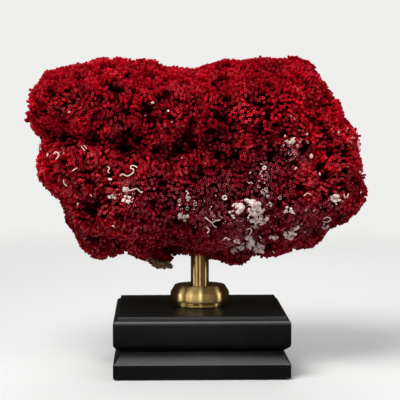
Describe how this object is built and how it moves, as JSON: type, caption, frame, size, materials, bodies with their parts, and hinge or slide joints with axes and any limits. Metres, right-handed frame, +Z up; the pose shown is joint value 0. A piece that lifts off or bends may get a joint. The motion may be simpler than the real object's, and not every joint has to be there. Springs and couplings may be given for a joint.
{
  "type": "organ pipe coral on a display stand",
  "caption": "Red organ pipe coral colony fixed on a brass rod with a turned brass collar, on a black moulded wooden base.",
  "frame": {"origin": "on the underside of the base, under the rod's axis", "axes": "+Z up along the rod, +X to the right along the base's front edge, with the coral's face towards -Y"},
  "size_m": [0.224, 0.124, 0.2045],
  "materials": {
    "coral": "matte",
    "lime_crust": "matte",
    "brass": "satin",
    "black_lacquer": "satin",
    "felt": "matte",
    "zinc_steel": "satin"
  },
  "bodies": {
    "root": {"coral_colony": "coral", "support_rod": "brass", "collar": "brass", "foot_ring": "brass", "base_block": "black_lacquer", "base_plinth": "black_lacquer", "felt_sheet": "felt", "fixing_screw": "zinc_steel", "fixing_washer": "zinc_steel"}
  },
  "joints": []
}
